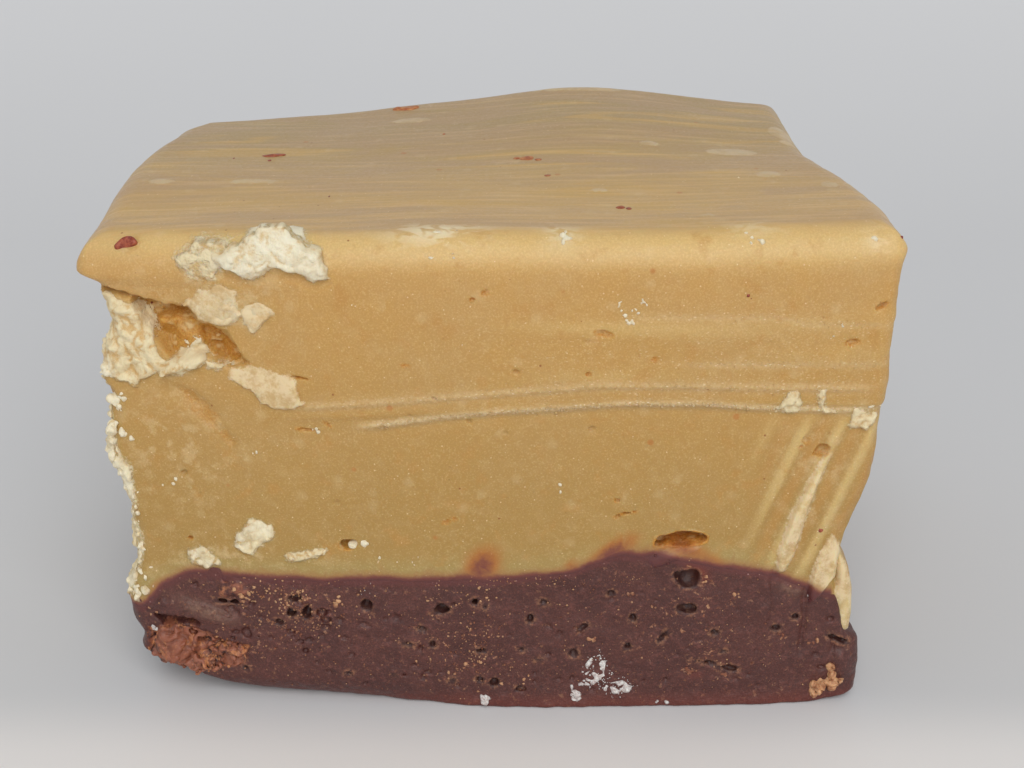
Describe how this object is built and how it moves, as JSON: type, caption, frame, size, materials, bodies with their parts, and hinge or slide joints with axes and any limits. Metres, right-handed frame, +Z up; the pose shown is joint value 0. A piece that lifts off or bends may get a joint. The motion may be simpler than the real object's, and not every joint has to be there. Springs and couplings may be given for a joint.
{
  "type": "layered fudge square",
  "caption": "Square of layered fudge: a deep peanut butter layer with a domed, round-edged top on a thinner chocolate layer, cut sides rough with crags, crumbs and bubble holes.",
  "frame": {"origin": "middle of the underside, on the surface that the piece rests on", "axes": "+X to the right of the cut front, along the longest side; +Y from the cut front to the back; +Z up"},
  "size_m": [0.0646, 0.0466, 0.044],
  "materials": {
    "peanut_butter": "satin, dense and finely grained",
    "chocolate": "satin, pitted and crumbly"
  },
  "bodies": {
    "root": {"peanut_butter_layer": "peanut_butter", "chocolate_layer": "chocolate"}
  },
  "joints": []
}
